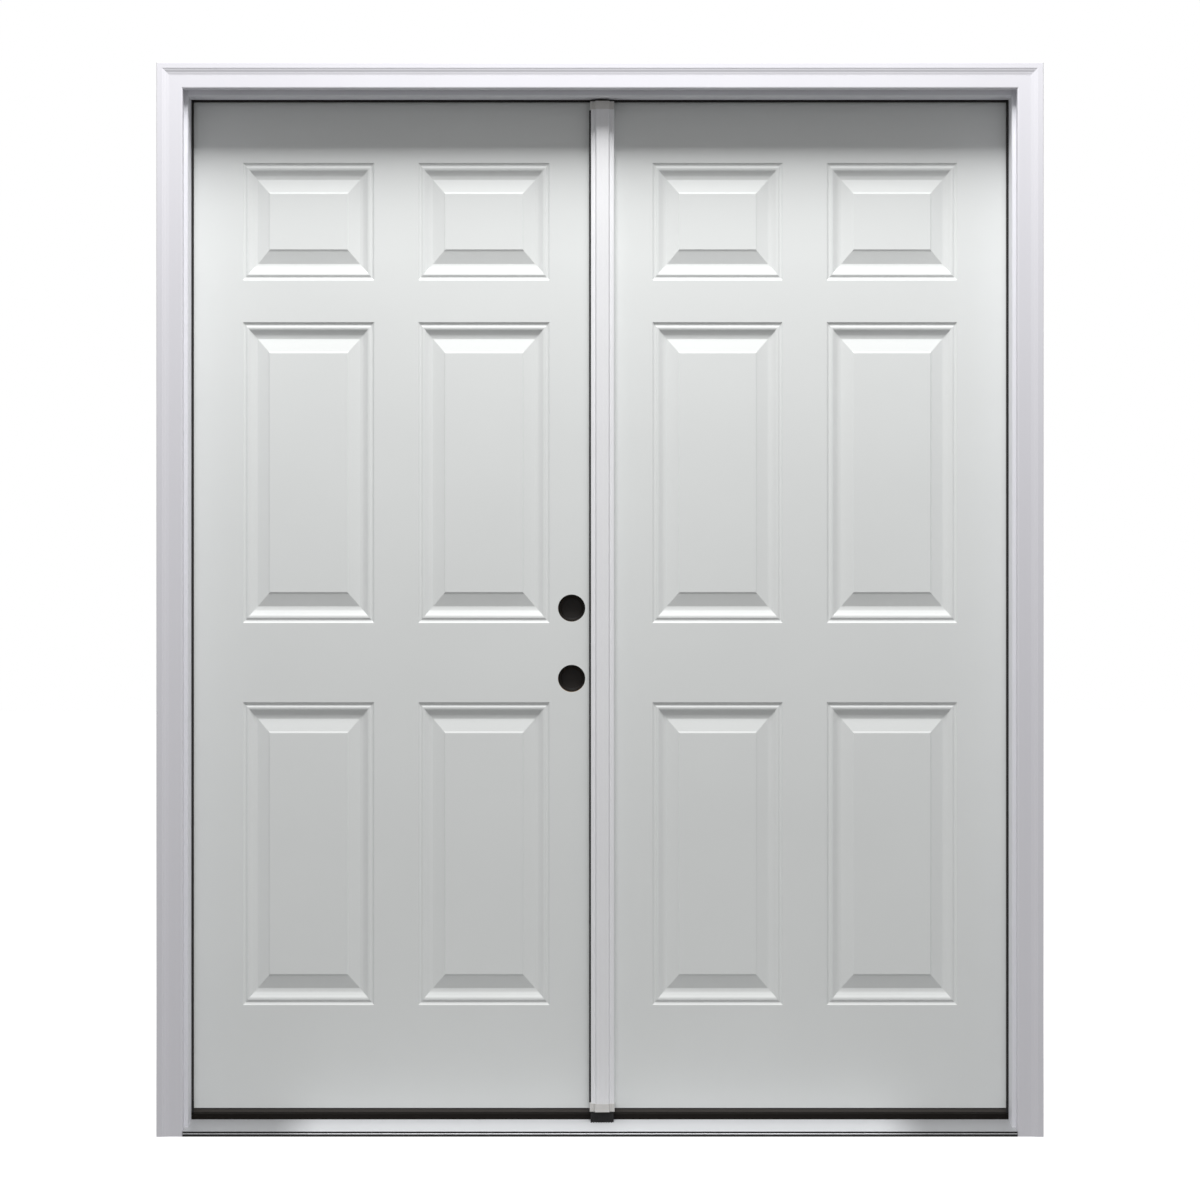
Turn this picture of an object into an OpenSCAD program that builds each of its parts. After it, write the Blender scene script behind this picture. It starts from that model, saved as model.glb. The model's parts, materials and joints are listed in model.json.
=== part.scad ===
// Prehung double exterior door: two embossed six-panel steel leaves, inswing, in a rabbeted frame
// with brick-mould casing, an aluminium sill and a T-astragal on the right leaf.
// X runs across the opening, -Y faces outdoors, Z is up from the underside of the sill.

/* [Leaves] */
// Width of the active leaf, which carries the lock bores
active_w = 822; // [700:0.5:950]
// Width of the passive leaf, which carries the astragal
passive_w = 793.5; // [700:0.5:950]
// Height of both leaves
leaf_h = 2007; // [1950:1:2150]
// Thickness of both leaves
leaf_t = 44.5; // [40:0.5:50]
// Thickness of the steel skins
skin_t = 0.7; // [0.5:0.1:1.2]
// Width of the skin that folds over each upright edge
lip_w = 9; // [6:0.5:9]
// Width of the wooden stiles inside a leaf
stile_w = 28; // [24:1:32]
// Height of the wooden rails inside a leaf
rail_h = 40; // [30:1:60]

/* [Gaps] */
// Gap between a leaf and its hinge jamb
hinge_gap = 3; // [2.5:0.1:4]
// Gap between the leaves and the head
head_gap = 3; // [2.5:0.1:5]
// Gap between the active leaf and the astragal
meeting_gap = 4.5; // [4.2:0.1:7]
// Clearance between pieces that move past each other
fit = 0.3; // [0.2:0.05:0.5]
// Clearance round fasteners and let-in plates
seat = 0.1; // [0.05:0.05:0.2]

/* [Panels] */
// Stile from the hinge edge to the first panel
hinge_stile = 109.5; // [90:0.5:120]
// Stile from the active leaf's panels to its lock edge
active_lock_w = 104; // [101:0.5:130]
// Stile from the passive leaf's panels to its meeting edge
passive_lock_w = 79.5; // [60:0.5:130]
// Stile between the two columns of panels
mullion_w = 87.5; // [60:0.5:110]
// Rail under the bottom panels
bottom_rail = 204; // [150:1:220]
// Height of the bottom panels
bottom_panel_h = 601; // [500:1:620]
// Rail at the lock
lock_rail = 157; // [120:1:180]
// Rail between the middle and the top panels
frieze_rail = 83; // [60:1:100]
// Height of the top panels
top_panel_h = 233; // [180:1:260]
// Rail above the top panels
top_rail = 132; // [100:1:160]
// Depth of the embossing
emboss_d = 9.2; // [5:0.1:11]
// Width of the panel moulding along the stiles
mould_side_w = 53.5; // [40:0.5:65]
// Width of the panel moulding along the rails
mould_rail_w = 61.5; // [40:0.5:70]

/* [Lock preparation] */
// Height of the lower lock bore above the leaf's bottom
lock_h = 852; // [820:1:860]
// Distance between the two lock bores
lock_spacing = 139.7; // [130:0.1:145]
// Distance from the leaf's edge to the lock bores
backset = 60.3; // [58:0.1:62]
// Diameter of the lock bores
lock_bore_d = 54; // [50:0.1:56]
// Diameter of the latch bores in the leaf's edge
latch_bore_d = 25.4; // [20:0.1:26]
// Width of the block behind the lock bores
lock_block_w = 70; // [66:1:74]
// Wood above and below the lock bores
lock_block_end = 90; // [60:1:110]

/* [Frame] */
// Thickness of the jambs at the rabbet
jamb_t = 19; // [17:0.5:25]
// Depth of the jambs from front to back
jamb_d = 116; // [114:0.5:170]
// How far the stops stand in front of the rabbet
stop_h = 11; // [10:0.5:14]
// Room for the weatherstrip between the stop and the leaf
strip_t = 7.5; // [6:0.1:9]
// Width of the weatherstrip that shows past the stop
strip_show = 4.7; // [3:0.1:6]
// Width of the kerf that holds the weatherstrip
kerf_w = 3; // [2.5:0.1:4]
// Depth of that kerf
kerf_d = 9; // [6:0.5:11]

/* [Casing] */
// Width of the brick mould
casing_w = 50.8; // [45:0.1:60]
// Thickness of the brick mould
casing_t = 32; // [28:0.5:36]
// Edge of the jamb that shows inside the brick mould
reveal = 8; // [5:0.5:12]

/* [Sill] */
// Height of the adjustable cap's top
cap_top = 35; // [33:0.5:40]
// Height of the sweep under the leaves
sweep_h = 8.6; // [7:0.1:12]
// Height of the deck's front edge
deck_front = 10.5; // [10:0.5:12]
// Height of the deck's back edge
deck_back = 22; // [20:0.5:23]
// Thickness of the deck
deck_t = 2.2; // [1.6:0.1:2.6]
// How far the cap can be screwed down
cap_travel = 4; // [2:0.5:4]
// Wall of the cap
cap_wall = 3.4; // [2.5:0.1:4]

/* [Astragal] */
// Thickness of the tube between the leaves
astragal_t = 16; // [15:0.5:20]
// Wall of the extrusion
astragal_wall = 2.2; // [1.8:0.1:2.6]
// How far the lip laps over the active leaf
lip_lap = 23.5; // [16:0.5:24]
// How far the lip covers the passive leaf
lip_cover = 3.5; // [3:0.5:8]
// How far the lip's front stands in front of the leaves
lip_proud = 36; // [30:0.5:40]
// Space for the seal between the lip and the active leaf
seal_room = 9; // [8.5:0.5:11]
// Height of the end cap at the top of the lip
top_cap_h = 15.8; // [10:0.1:20]
// Height of the end cap at the bottom of the lip
bottom_cap_h = 16; // [10:0.5:20]
// Diameter of the flush bolts
bolt_d = 9.5; // [8:0.1:10]
// Length of the flush bolts
bolt_len = 204; // [150:1:300]
// Travel of the top bolt
top_bolt_travel = 14; // [8:1:15]
// Travel of the bottom bolt
bottom_bolt_travel = 12; // [8:1:14]

/* [Hinges] */
// Height of a hinge
hinge_h = 101.6; // [80:0.1:115]
// Width of each hinge plate
hinge_w = 32; // [28:0.5:36]
// Thickness of the hinge plates
hinge_t = 2.5; // [2:0.1:3]
// Radius of the hinge plates' corners
hinge_corner = 15.9; // [6:0.1:15.9]
// Radius of the knuckles
knuckle_r = 5.8; // [5:0.1:5.8]
// Radius of the pins
pin_r = 3.2; // [2.5:0.1:3.5]
// Distance from the leaf's indoor face to the pin
pin_out = 6; // [6:0.1:8]
// Distance from the leaf's top to the top hinge
hinge_from_top = 178; // [150:1:250]
// Distance from the leaf's bottom to the bottom hinge
hinge_from_bottom = 279; // [200:1:320]

/* [Hidden] */
$fn = 48;

white_steel = "#E6E9E7";
white_trim = "#E4E4E8";
white_jamb = "#D4D4D9";
dark_seal = "#1B1718";
bronze = "#4A4643";
dark_bronze = "#241C16";
mill_aluminium = "#CDD0D4";
hinge_steel = "#B9BBBD";
pine = "#C9A877";
composite = "#8A8078";
foam = "#E9DDB4";
boot_grey = "#B8B6B6";
bare_steel = "#A9ABAD";

// Places across the opening
rabbet_x = (active_w + meeting_gap + astragal_t + passive_w) / 2 + hinge_gap;
hinge_edge = rabbet_x - hinge_gap;
stop_x = rabbet_x - stop_h;
jamb_x = rabbet_x + jamb_t;
casing_x = stop_x + reveal;
active_edge = active_w - hinge_edge;
tube_x = active_edge + meeting_gap;
passive_edge = tube_x + astragal_t;

// Places through the wall
leaf_y = jamb_d - leaf_t;
stop_d = leaf_y - strip_t;
pin_x = rabbet_x - hinge_gap / 2;
pin_y = jamb_d + pin_out;
mid_y = leaf_y + leaf_t / 2;

// Heights
leaf_z = cap_top + fit + sweep_h;
leaf_top = leaf_z + leaf_h;
head_rabbet = leaf_top + head_gap;
head_stop = head_rabbet - stop_h;
head_top = head_rabbet + jamb_t;
casing_z = head_stop + reveal;
lock_z = [leaf_z + lock_h, leaf_z + lock_h + lock_spacing];
lock_x = active_edge - backset;
hinge_z = let (low = leaf_z + hinge_from_bottom + hinge_h / 2, high = leaf_top - hinge_from_top - hinge_h / 2)
  [low, (low + high) / 2, high];

// Panels: their widths, the rows as [height above the leaf's bottom, height], and the columns of one leaf
active_panel_w = (active_w - hinge_stile - mullion_w - active_lock_w) / 2;
passive_panel_w = (passive_w - hinge_stile - mullion_w - passive_lock_w) / 2;
mid_panel_z = bottom_rail + bottom_panel_h + lock_rail;
top_panel_z = leaf_h - top_rail - top_panel_h;
panel_rows = [
  [bottom_rail, bottom_panel_h],
  [mid_panel_z, top_panel_z - frieze_rail - mid_panel_z],
  [top_panel_z, top_panel_h]
];
function panel_cols(panel_w) = [hinge_stile, hinge_stile + panel_w + mullion_w];

// Panel moulding: share of its width from the outline inwards, share of the embossing's depth
moulding = [
  [0, 0], [0.05, 0.24], [0.09, 0.33], [0.125, 0.27], [0.17, 0.15], [0.215, 0.18],
  [0.32, 0.57], [0.43, 0.91], [0.54, 1], [0.94, 0.33], [1, 0.13]
];
past = 1;

// Screws
screw_head_r = 4.2;
screw_shank_r = 2.3;
screw_head_h = 2.3;
frame_hinge_screw = jamb_t - 3;
leaf_hinge_screw = stile_w - 4;
frame_screw = 55;
astragal_screw = 22;
strike_screw_r = 1.6;
hinge_screw_rows = [-0.39, -0.15, 0.15, 0.39];
hinge_screw_in = [0.3, 0.66];

// Sill
nose_y = 0.5 - casing_t;
shelf_z = 16;
nose_wall = 7;
rib_y = [stop_d + 6, jamb_d - 6];
rib_top = 26;
cap_y = [stop_d + fit, jamb_d - 0.5];
cap_foot = shelf_z + cap_travel + 0.5;
cap_screw_pairs = 3;
cap_screw_mid = 120;
cap_screw_end = 61;
cap_screw_x = [for (k = [0:cap_screw_pairs - 1])
  cap_screw_mid + k * (rabbet_x - cap_screw_end - cap_screw_mid) / (cap_screw_pairs - 1)];
cap_screw_r = 3;
cap_screw_head_r = 6;
cap_screw_head_h = 2.5;
cap_screw_low = cap_travel + 2;
pad_top = cap_top + fit;
strip_foot = cap_top + 25;

// Astragal
bolt_x = tube_x + astragal_t / 2;
bolt_y = mid_y;
bolt_hole_r = bolt_d / 2 + fit;
strike_hole_r = bolt_d / 2 + 0.85;
tube_z = [leaf_z + 0.5, leaf_top - 0.5];
lip_x = [active_edge - lip_lap, passive_edge + lip_cover];
lip_front = leaf_y - lip_proud;
lip_ledge = lip_front + 8.5;
lip_back = leaf_y - seal_room;
cap_gap = 0.5;
boot_z = cap_top + 5;
lip_z = [boot_z + bottom_cap_h, head_stop - strip_show - cap_gap - top_cap_h];
guide_h = 30;
thumb_h = 20;
thumb_w = 9;
thumb_sunk = 0.4;
strike_plate = [28, 58, 1.2];
strike_window = [20, 28];
astragal_screw_rows = 7;
astragal_screw_end = 300;
astragal_screw_y = mid_y + 12;
astragal_screw_z = [for (k = [0:astragal_screw_rows - 1])
  leaf_z + astragal_screw_end + k * (leaf_h - 2 * astragal_screw_end) / (astragal_screw_rows - 1)];
head_strike = [40, 22, 1.5];
bolt_foot = cap_top + 1.5;

// Shapes shared by several pieces

// Extrudes an outline drawn in (Y, Z) along X from x0 to x1
module along_x(x0, x1) {
  translate([x0, 0, 0]) rotate([90, 0, 90]) linear_extrude(x1 - x0) children();
}

module upright(z0, z1) {
  translate([0, 0, z0]) linear_extrude(z1 - z0) children();
}

module span(a, b) {
  translate(a) cube(b - a);
}

module mirrored_pair() {
  children();
  mirror([1, 0, 0]) children();
}

// Countersunk screw that points along +Z, its head flush at 0
module screw(len, clear = 0, head_r = screw_head_r, shank_r = screw_shank_r, head_h = screw_head_h) {
  rotate_extrude() polygon([
    [0, -clear], [head_r + clear, -clear], [head_r + clear, 0], [shank_r + clear, head_h],
    [shank_r + clear, len - shank_r], [0.4, len + clear], [0, len + clear]
  ]);
}

// Solid through a list of four-point rings, from the first, which faces -Y, to the last
module loft(rings) {
  last = 4 * (len(rings) - 1);
  polyhedron(
    points = [for (r = rings) each r],
    faces = concat(
      [[3, 2, 1, 0], [last, last + 1, last + 2, last + 3]],
      [for (k = [0:len(rings) - 2], i = [0:3]) let (j = (i + 1) % 4)
        [4 * k + i, 4 * k + j, 4 * k + 4 + j, 4 * k + 4 + i]]
    )
  );
}

function panel_ring(w, h, point, sink) = let (
    a = point[0] * mould_side_w,
    b = point[0] * mould_rail_w,
    d = point[1] * emboss_d + sink
  ) [[a, d, b], [w - a, d, b], [w - a, d, h - b], [a, d, h - b]];

// Pressed sheet of one panel, its front at Y = 0 round the outline
module panel_sheet(w, h) {
  back_to_front = [for (k = [len(moulding) - 1:-1:0]) panel_ring(w, h, moulding[k], 0)];
  front_to_back = [for (point = moulding) panel_ring(w, h, point, skin_t)];
  loft(concat(back_to_front, front_to_back));
}

// Room that one panel takes out of what lies behind its sheet
module panel_room(w, h) {
  loft(concat([panel_ring(w, h, [0, 0], -past)], [for (point = moulding) panel_ring(w, h, point, 0)]));
}

module each_panel(panel_w) {
  for (u = panel_cols(panel_w), row = panel_rows) translate([u, 0, row[0]]) {
    $panel_h = row[1];
    children();
  }
}

// Puts a leaf drawn from its hinge edge (X), outdoor face (Y) and bottom (Z) in the frame
module as_active() {
  translate([-hinge_edge, leaf_y, leaf_z]) children();
}

module as_passive() {
  mirror([1, 0, 0]) translate([-hinge_edge, leaf_y, leaf_z]) children();
}

module indoor_face() {
  translate([0, leaf_t, 0]) mirror([0, 1, 0]) children();
}

// Lock preparation

module lock_bores() {
  for (z = lock_z) translate([lock_x, leaf_y - past, z]) rotate([-90, 0, 0])
    cylinder(r = lock_bore_d / 2, h = leaf_t + 2 * past);
}

module latch_bores() {
  for (z = lock_z) translate([lock_x, mid_y, z]) rotate([0, 90, 0])
    cylinder(r = latch_bore_d / 2, h = backset + past);
}

// Hinges, drawn for the active leaf

module hinge_outline(clear) {
  w = hinge_w + clear;
  h = hinge_h + 2 * clear;
  r = hinge_corner + clear;
  translate([jamb_d - w, -h / 2]) {
    translate([r, 0]) square([w - r, h]);
    translate([0, r]) square([r, h - 2 * r]);
    translate([r, r]) circle(r);
    translate([r, h - r]) circle(r);
  }
}

module hinge_screw_places() {
  for (z = hinge_z, k = [0:3])
    translate([0, jamb_d - hinge_w * (1 - hinge_screw_in[k % 2]), z + hinge_screw_rows[k] * hinge_h]) children();
}

// Let-in room of the three plates, from face x into the wood by the plates' thickness
module hinge_mortises(x) {
  for (z = hinge_z) translate([0, 0, z]) along_x(x, x + hinge_t + seat) hinge_outline(seat);
}

// One hinge half: its plate starts at x, and it has every second knuckle from the first one given
module hinge_half(x, first) {
  seg = hinge_h / 5;
  along_x(x, x + hinge_t) hinge_outline(0);
  for (k = [first:2:4]) translate([0, 0, (k - 2.5) * seg + fit / 2]) {
    translate([-pin_x, pin_y, 0]) cylinder(r = knuckle_r, h = seg - fit);
    translate([x, jamb_d - past, 0]) cube([hinge_t, pin_out + past, seg - fit]);
  }
}

module hinge_pin_rooms() {
  translate([-pin_x, pin_y, leaf_z]) cylinder(r = pin_r + 0.05, h = leaf_h);
}

module hinge_frame_halves() {
  difference() {
    for (z = hinge_z) translate([0, 0, z]) hinge_half(-rabbet_x - hinge_t, 0);
    hinge_pin_rooms();
    frame_hinge_screw_set(seat);
  }
}

module hinge_leaf_halves() {
  difference() {
    for (z = hinge_z) translate([0, 0, z]) hinge_half(-hinge_edge, 1);
    hinge_pin_rooms();
    leaf_hinge_screw_set(seat);
  }
}

module frame_hinge_screw_set(clear) {
  hinge_screw_places() translate([-rabbet_x, 0, 0]) rotate([0, -90, 0]) screw(frame_hinge_screw, clear);
}

module leaf_hinge_screw_set(clear) {
  hinge_screw_places() translate([-hinge_edge, 0, 0]) rotate([0, 90, 0]) screw(leaf_hinge_screw, clear);
}

module hinge_pin_set() {
  for (z = hinge_z) translate([-pin_x, pin_y, z - hinge_h / 2]) {
    translate([0, 0, -1.5]) cylinder(r = pin_r, h = hinge_h + 3);
    translate([0, 0, hinge_h + fit]) rotate_extrude()
      polygon([[0, 0], [knuckle_r, 0], [knuckle_r, 1.2], [knuckle_r - 1.4, 2.6], [0, 3.2]]);
  }
}

// Frame

// Room for the three screws through a side jamb into the end of a cross piece at each height
module frame_screw_set(clear) {
  head_y = [stop_d * 0.25, stop_d * 0.75, stop_d + (jamb_d - stop_d) / 2];
  mirrored_pair() for (y = head_y) {
    translate([-jamb_x, y, head_rabbet + jamb_t / 2]) rotate([0, 90, 0]) screw(frame_screw, clear);
    if (y > stop_d * 0.5) translate([-jamb_x, y, 8]) rotate([0, 90, 0]) screw(frame_screw, clear);
  }
}

module side_jamb() {
  ease = 1.5;
  difference() {
    upright(0, head_top) difference() {
      polygon([
        [-jamb_x, 0], [-stop_x - ease, 0], [-stop_x, ease], [-stop_x, stop_d], [-rabbet_x, stop_d],
        [-rabbet_x, jamb_d], [-jamb_x, jamb_d]
      ]);
      translate([-rabbet_x + (stop_h - kerf_w) / 2 - 1, stop_d - kerf_d]) square([kerf_w, kerf_d + past]);
    }
    translate([-hinge_t - seat, 0, 0]) hinge_mortises(-rabbet_x);
    frame_hinge_screw_set(seat);
    frame_screw_set(seat);
  }
}

module left_jamb() {
  color(white_jamb) side_jamb();
}

module right_jamb() {
  color(white_jamb) mirror([1, 0, 0]) side_jamb();
}

// Plan of what fits between the casings in front and between the stops behind them
module between_stops(front) {
  translate([-casing_x + fit, front]) square([2 * (casing_x - fit), -front]);
  translate([-stop_x, 0]) square([2 * stop_x, stop_d]);
}

module head_jamb() {
  ease = 1.5;
  color(white_jamb) difference() {
    along_x(-rabbet_x, rabbet_x) difference() {
      polygon([
        [0, head_top], [0, head_stop + ease], [ease, head_stop], [stop_d, head_stop], [stop_d, head_rabbet],
        [jamb_d, head_rabbet], [jamb_d, head_top]
      ]);
      translate([stop_d - kerf_d, head_rabbet - (stop_h - kerf_w) / 2 + 1 - kerf_w])
        square([kerf_d + past, kerf_w]);
    }
    mirrored_pair() span([stop_x, -past, head_stop - past], [rabbet_x + past, stop_d, head_top + past]);
    frame_screw_set(seat);
    translate([bolt_x, bolt_y, head_rabbet - past]) cylinder(r = strike_hole_r, h = top_bolt_travel + past);
    head_strike_room(seat);
  }
}

module head_strike_room(clear) {
  size = [head_strike[0] + 2 * clear, head_strike[1] + 2 * clear];
  upright(head_rabbet - clear, head_rabbet + head_strike[2]) translate([bolt_x, bolt_y] - size / 2) square(size);
}

module head_bolt_strike() {
  color(bare_steel) difference() {
    head_strike_room(0);
    translate([bolt_x, bolt_y, head_rabbet - past]) cylinder(r = strike_hole_r, h = head_strike[2] + 2 * past);
  }
}

module frame_screws() {
  color(bare_steel) frame_screw_set(0);
}

// Section of the brick mould: its outer edge at 0, its back at 0, its face towards -Y
module casing_section() {
  back_band = 9;
  face_t = casing_t - 5.5;
  cove_r = 5.5;
  difference() {
    polygon([
      [0, 0], [0, 1 - casing_t], [1, -casing_t], [back_band - 1, -casing_t], [back_band, 1 - casing_t],
      [back_band, -face_t - 1.5], [back_band + 2, -face_t - 1.5], [back_band + 2, -face_t + 0.5],
      [back_band + 11, -face_t + 4], [back_band + 12, -face_t + 1.5], [back_band + 14, -face_t],
      [casing_w - 3, -face_t], [casing_w - 1, 0.9 - face_t], [casing_w, 3 - face_t], [casing_w, 0]
    ]);
    translate([back_band + 2 + cove_r * 0.9, -face_t - 1]) circle(cove_r);
  }
}

// Wedge that keeps what lies on the side's own half of the mitre
module mitre_side() {
  outer_z = casing_z + casing_w;
  outer_x = casing_x + casing_w;
  translate([0, past, 0]) rotate([90, 0, 0]) linear_extrude(casing_t + 2 * past)
    polygon([[-outer_x, 0], [-casing_x, 0], [-casing_x, casing_z], [-outer_x, outer_z]]);
}

module side_casing() {
  intersection() {
    upright(0, casing_z + casing_w) translate([-casing_x - casing_w, 0]) casing_section();
    mitre_side();
  }
}

module left_brickmould() {
  color(white_trim) side_casing();
}

module right_brickmould() {
  color(white_trim) mirror([1, 0, 0]) side_casing();
}

module head_brickmould() {
  outer_x = casing_x + casing_w;
  outer_z = casing_z + casing_w;
  color(white_trim) intersection() {
    translate([-outer_x, 0, outer_z]) rotate([0, 90, 0]) linear_extrude(2 * outer_x) casing_section();
    translate([0, past, 0]) rotate([90, 0, 0]) linear_extrude(casing_t + 2 * past)
      polygon([[-outer_x, outer_z], [-casing_x, casing_z], [casing_x, casing_z], [outer_x, outer_z]]);
  }
}

// Weatherstrip section: distance from the rabbet face (X), and place through the wall (Y)
module strip_section() {
  t = strip_t - fit;
  nose = stop_h + strip_show;
  translate([fit, stop_d]) square([nose - t / 2 - fit, t]);
  translate([nose - t / 2, stop_d + t / 2]) circle(t / 2);
  translate([(stop_h - kerf_w) / 2 - 1 + fit, stop_d - kerf_d + 1]) square([kerf_w - 2 * fit, kerf_d]);
}

module side_strip() {
  upright(strip_foot + fit, head_rabbet - fit) translate([-rabbet_x, 0]) strip_section();
}

module left_weatherstrip() {
  color(dark_seal) side_strip();
}

module right_weatherstrip() {
  color(dark_seal) mirror([1, 0, 0]) side_strip();
}

module head_weatherstrip() {
  half = stop_x - strip_show - fit;
  color(dark_seal) translate([-half, 0, head_rabbet]) rotate([0, 90, 0]) linear_extrude(2 * half) strip_section();
}

module corner_pads() {
  nose = stop_x - strip_show;
  color(dark_seal) mirrored_pair() along_x(-rabbet_x, -nose) polygon([
    [stop_d, pad_top], [leaf_y - fit, pad_top], [leaf_y - fit, strip_foot - 3], [leaf_y - 3, strip_foot],
    [stop_d, strip_foot]
  ]);
}

// Sill

function deck_under(y) = let (y0 = nose_y + 1.3)
  deck_front + (deck_back - deck_front) * (y - y0) / (stop_d - y0) - deck_t;

module sill_deck() {
  color(mill_aluminium) intersection() {
    along_x(-rabbet_x, rabbet_x) polygon([
      [nose_y + 2.5, 0], [nose_y + 0.8, 1], [nose_y, 3], [nose_y, 6.2], [nose_y + 0.6, 7.5], [nose_y + 1.8, 8],
      [nose_y + 4.5, 8], [nose_y + 4.5, 9.3], [nose_y + 1.6, 9.3], [nose_y + 1.3, deck_front],
      [stop_d, deck_back], [stop_d, shelf_z], [stop_d - 2, shelf_z], [stop_d - 2, deck_under(stop_d - 2)],
      [nose_y + nose_wall, deck_under(nose_y + nose_wall)], [nose_y + nose_wall, 0]
    ]);
    upright(-past, cap_top) between_stops(nose_y);
  }
}

module sill_base() {
  color(composite) difference() {
    intersection() {
      along_x(-rabbet_x, rabbet_x) polygon([
        [nose_y + nose_wall, 0], [jamb_d, 0], [jamb_d, shelf_z], [rib_y[1], shelf_z], [rib_y[1], rib_top],
        [rib_y[0], rib_top], [rib_y[0], shelf_z], [stop_d - 2, shelf_z], [stop_d - 2, deck_under(stop_d - 2)],
        [nose_y + nose_wall, deck_under(nose_y + nose_wall)]
      ]);
      upright(-past, cap_top) {
        between_stops(nose_y);
        translate([-rabbet_x, stop_d]) square([2 * rabbet_x, jamb_d - stop_d]);
      }
    }
    mirrored_pair() for (x = cap_screw_x) translate([x, mid_y, 1.2])
      cylinder(r = cap_screw_r + fit, h = rib_top);
    translate([bolt_x, bolt_y, cap_top - bottom_bolt_travel - 1]) cylinder(r = strike_hole_r, h = rib_top);
    frame_screw_set(seat);
  }
}

module sill_cap() {
  color(dark_bronze) difference() {
    along_x(fit - rabbet_x, rabbet_x - fit) polygon([
      [cap_y[0], cap_foot], [cap_y[0], cap_top - 2], [cap_y[0] + 2.5, cap_top], [cap_y[1] - 4.5, cap_top],
      [cap_y[1], cap_top - 3.5], [cap_y[1], cap_foot], [cap_y[1] - cap_wall, cap_foot],
      [cap_y[1] - cap_wall, cap_top - cap_wall - 1], [cap_y[1] - cap_wall - 2, cap_top - cap_wall],
      [cap_y[0] + cap_wall, cap_top - cap_wall], [cap_y[0] + cap_wall, cap_foot]
    ]);
    mirrored_pair() for (x = cap_screw_x) translate([x, mid_y, 0]) {
      cylinder(r = cap_screw_r + seat, h = cap_top + past);
      translate([0, 0, cap_top - cap_screw_head_h - 0.3]) cylinder(r = cap_screw_head_r + seat, h = 5);
    }
    translate([bolt_x, bolt_y, cap_foot]) cylinder(r = strike_hole_r, h = cap_top);
  }
}

module sill_cap_screws() {
  head_z = cap_top - cap_screw_head_h - 0.3;
  color(bare_steel) mirrored_pair() for (x = cap_screw_x) translate([x, mid_y, 0]) {
    translate([0, 0, cap_screw_low]) cylinder(r = cap_screw_r, h = head_z - cap_screw_low + seat);
    difference() {
      translate([0, 0, head_z]) cylinder(r = cap_screw_head_r, h = cap_screw_head_h);
      translate([-cap_screw_head_r, -0.7, head_z + cap_screw_head_h - 1]) cube([2 * cap_screw_head_r, 1.4, 2]);
    }
  }
}

// Finned seal on the deck under the astragal's end
module sill_pad() {
  back = lip_back;
  front = lip_front + 2;
  color(dark_seal) intersection() {
    upright(0, boot_z - fit) {
      translate([lip_x[0] + 1, front + 4]) square([lip_x[1] - lip_x[0] - 2, back - front - 4]);
      for (x = [lip_x[0] + 1:5:lip_x[1] - 3]) translate([x, front]) square([2.2, 6]);
    }
    along_x(lip_x[0], lip_x[1]) polygon([
      [front - past, deck_under(front - past) + deck_t], [back + past, deck_under(back + past) + deck_t],
      [back + past, boot_z], [front - past, boot_z]
    ]);
  }
}

// Leaves, drawn from the hinge edge

// Sheet of one face with its folded edges and pressed panels
module skin_sheet(w, panel_w) {
  difference() {
    union() {
      cube([w, skin_t, leaf_h]);
      cube([skin_t, lip_w, leaf_h]);
      translate([w - skin_t, 0, 0]) cube([skin_t, lip_w, leaf_h]);
    }
    each_panel(panel_w) translate([0, -past, 0]) cube([panel_w, skin_t + 2 * past, $panel_h]);
  }
  each_panel(panel_w) panel_sheet(panel_w, $panel_h);
}

module leaf_inside(u0, u1, z0, z1) {
  translate([u0, skin_t, z0]) cube([u1 - u0, leaf_t - 2 * skin_t, z1 - z0]);
}

// Foam between the stiles and rails, pressed in on both faces
module leaf_core(w, panel_w) {
  difference() {
    leaf_inside(stile_w, w - stile_w, rail_h, leaf_h - rail_h);
    translate([0, skin_t, 0]) each_panel(panel_w) panel_room(panel_w, $panel_h);
    indoor_face() translate([0, skin_t, 0]) each_panel(panel_w) panel_room(panel_w, $panel_h);
  }
}

// Wooden stile whose outer edge is at 0, rebated for the folded skins
module leaf_stile() {
  difference() {
    leaf_inside(0, stile_w, 0, leaf_h);
    translate([-past, 0, -past]) cube([skin_t + past, lip_w, leaf_h + 2 * past]);
    translate([-past, leaf_t - lip_w, -past]) cube([skin_t + past, lip_w + past, leaf_h + 2 * past]);
  }
}

module lock_edge(w) {
  translate([w, 0, 0]) mirror([1, 0, 0]) children();
}

// Sweep section: place through the leaf (X) and height above the cap (Y)
module sweep_section() {
  web = 2;
  wall = 3.5;
  inset = 0.6;
  translate([inset + 2.5, sweep_h - web]) square([leaf_t - 2 * inset - 5, web]);
  for (y = [inset, leaf_t - inset - wall]) translate([y, 0]) square([wall, sweep_h - 3]);
  for (y = [inset + 2.5, leaf_t - inset - 3.5]) translate([y, 0]) square([1, sweep_h]);
  for (y = [leaf_t * 0.37, leaf_t * 0.6]) translate([y, 0]) square([2, sweep_h]);
}

module leaf_sweep(w) {
  end = 1;
  translate([0, 0, -sweep_h]) along_x(end, w - end) sweep_section();
}

module active_exterior_skin() {
  color(white_steel) difference() {
    as_active() skin_sheet(active_w, active_panel_w);
    lock_bores();
    hinge_mortises(-hinge_edge - seat);
  }
}

module active_interior_skin() {
  color(white_steel) difference() {
    as_active() indoor_face() skin_sheet(active_w, active_panel_w);
    lock_bores();
    hinge_mortises(-hinge_edge - seat);
  }
}

module lock_block_room() {
  end = lock_bore_d / 2 + lock_block_end;
  x1 = active_edge - stile_w;
  span([x1 - lock_block_w, leaf_y + skin_t, lock_z[0] - end], [x1, jamb_d - skin_t, lock_z[1] + end]);
}

module active_core() {
  color(foam) difference() {
    as_active() leaf_core(active_w, active_panel_w);
    lock_block_room();
  }
}

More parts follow.
